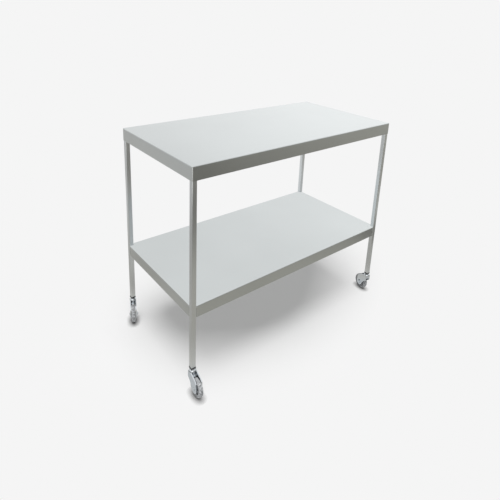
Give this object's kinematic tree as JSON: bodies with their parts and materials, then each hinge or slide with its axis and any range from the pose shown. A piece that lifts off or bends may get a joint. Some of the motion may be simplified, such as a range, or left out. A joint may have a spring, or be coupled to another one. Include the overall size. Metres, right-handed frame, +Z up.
{
  "type": "instrument cart",
  "caption": "Two-tier stainless steel instrument cart: apron-edged flat top and lower shelf on slim square legs, rolling on swivel stem casters.",
  "frame": {"origin": "on the floor, under the middle of the cart", "axes": "+X along the long side, +Y from the front face to the rear, +Z up"},
  "size_m": [1.0563, 0.6177, 0.856],
  "materials": {
    "stainless": "fine satin grain along each face, edges bright",
    "plating": "bright chrome plate",
    "insert": "dark moulded nylon",
    "wheel_centre": "light grey moulded",
    "tread": "grey non-marking rubber"
  },
  "bodies": {
    "frame": {"top_pan": "stainless", "shelf_pan": "stainless", "top_stiffener_front": "stainless", "top_stiffener_rear": "stainless", "shelf_stiffener_front": "stainless", "shelf_stiffener_rear": "stainless", "top_welds": "stainless", "shelf_welds": "stainless", "leg_fl": "stainless", "leg_fr": "stainless", "leg_rl": "stainless", "leg_rr": "stainless", "socket_fl": "insert", "socket_fr": "insert", "socket_rl": "insert", "socket_rr": "insert", "stem_fl": "plating", "stem_fr": "plating", "stem_rl": "plating", "stem_rr": "plating", "grip_ring_fl": "plating", "grip_ring_fr": "plating", "grip_ring_rl": "plating", "grip_ring_rr": "plating", "race_cap_fl": "plating", "race_cap_fr": "plating", "race_cap_rl": "plating", "race_cap_rr": "plating"},
    "swivel_fl": {"fork_fl": "plating", "axle_fl": "plating", "axle_nut_fl": "plating", "sleeve_fl": "plating", "race_balls_fl": "plating"},
    "wheel_fl": {"wheel_core_fl": "wheel_centre", "tyre_fl": "tread"},
    "swivel_fr": {"fork_fr": "plating", "axle_fr": "plating", "axle_nut_fr": "plating", "sleeve_fr": "plating", "race_balls_fr": "plating"},
    "wheel_fr": {"wheel_core_fr": "wheel_centre", "tyre_fr": "tread"},
    "swivel_rl": {"fork_rl": "plating", "axle_rl": "plating", "axle_nut_rl": "plating", "sleeve_rl": "plating", "race_balls_rl": "plating"},
    "wheel_rl": {"wheel_core_rl": "wheel_centre", "tyre_rl": "tread"},
    "swivel_rr": {"fork_rr": "plating", "axle_rr": "plating", "axle_nut_rr": "plating", "sleeve_rr": "plating", "race_balls_rr": "plating"},
    "wheel_rr": {"wheel_core_rr": "wheel_centre", "tyre_rr": "tread"}
  },
  "joints": [
    {"name": "swivel_fl", "type": "hinge", "parent": "frame", "child": "swivel_fl", "pos_m": [-0.4978, -0.2438, 0.085], "axis": [0, 0, 1], "continuous": true},
    {"name": "roll_fl", "type": "hinge", "parent": "swivel_fl", "child": "wheel_fl", "pos_m": [-0.4989, -0.27528, 0.035], "axis": [0.9994, -0.0349, 0], "continuous": true},
    {"name": "swivel_fr", "type": "hinge", "parent": "frame", "child": "swivel_fr", "pos_m": [0.4978, -0.2438, 0.085], "axis": [0, 0, 1], "continuous": true},
    {"name": "roll_fr", "type": "hinge", "parent": "swivel_fr", "child": "wheel_fr", "pos_m": [0.50381, -0.21288, 0.035], "axis": [-0.9816, 0.1908, 0], "continuous": true},
    {"name": "swivel_rl", "type": "hinge", "parent": "frame", "child": "swivel_rl", "pos_m": [-0.4978, 0.2438, 0.085], "axis": [0, 0, 1], "continuous": true},
    {"name": "roll_rl", "type": "hinge", "parent": "swivel_rl", "child": "wheel_rl", "pos_m": [-0.51011, 0.2148, 0.035], "axis": [0.9205, -0.3907, 0], "continuous": true},
    {"name": "swivel_rr", "type": "hinge", "parent": "frame", "child": "swivel_rr", "pos_m": [0.4978, 0.2438, 0.085], "axis": [0, 0, 1], "continuous": true},
    {"name": "roll_rr", "type": "hinge", "parent": "swivel_rr", "child": "wheel_rr", "pos_m": [0.50857, 0.2734, 0.035], "axis": [-0.9397, 0.342, 0], "continuous": true}
  ]
}
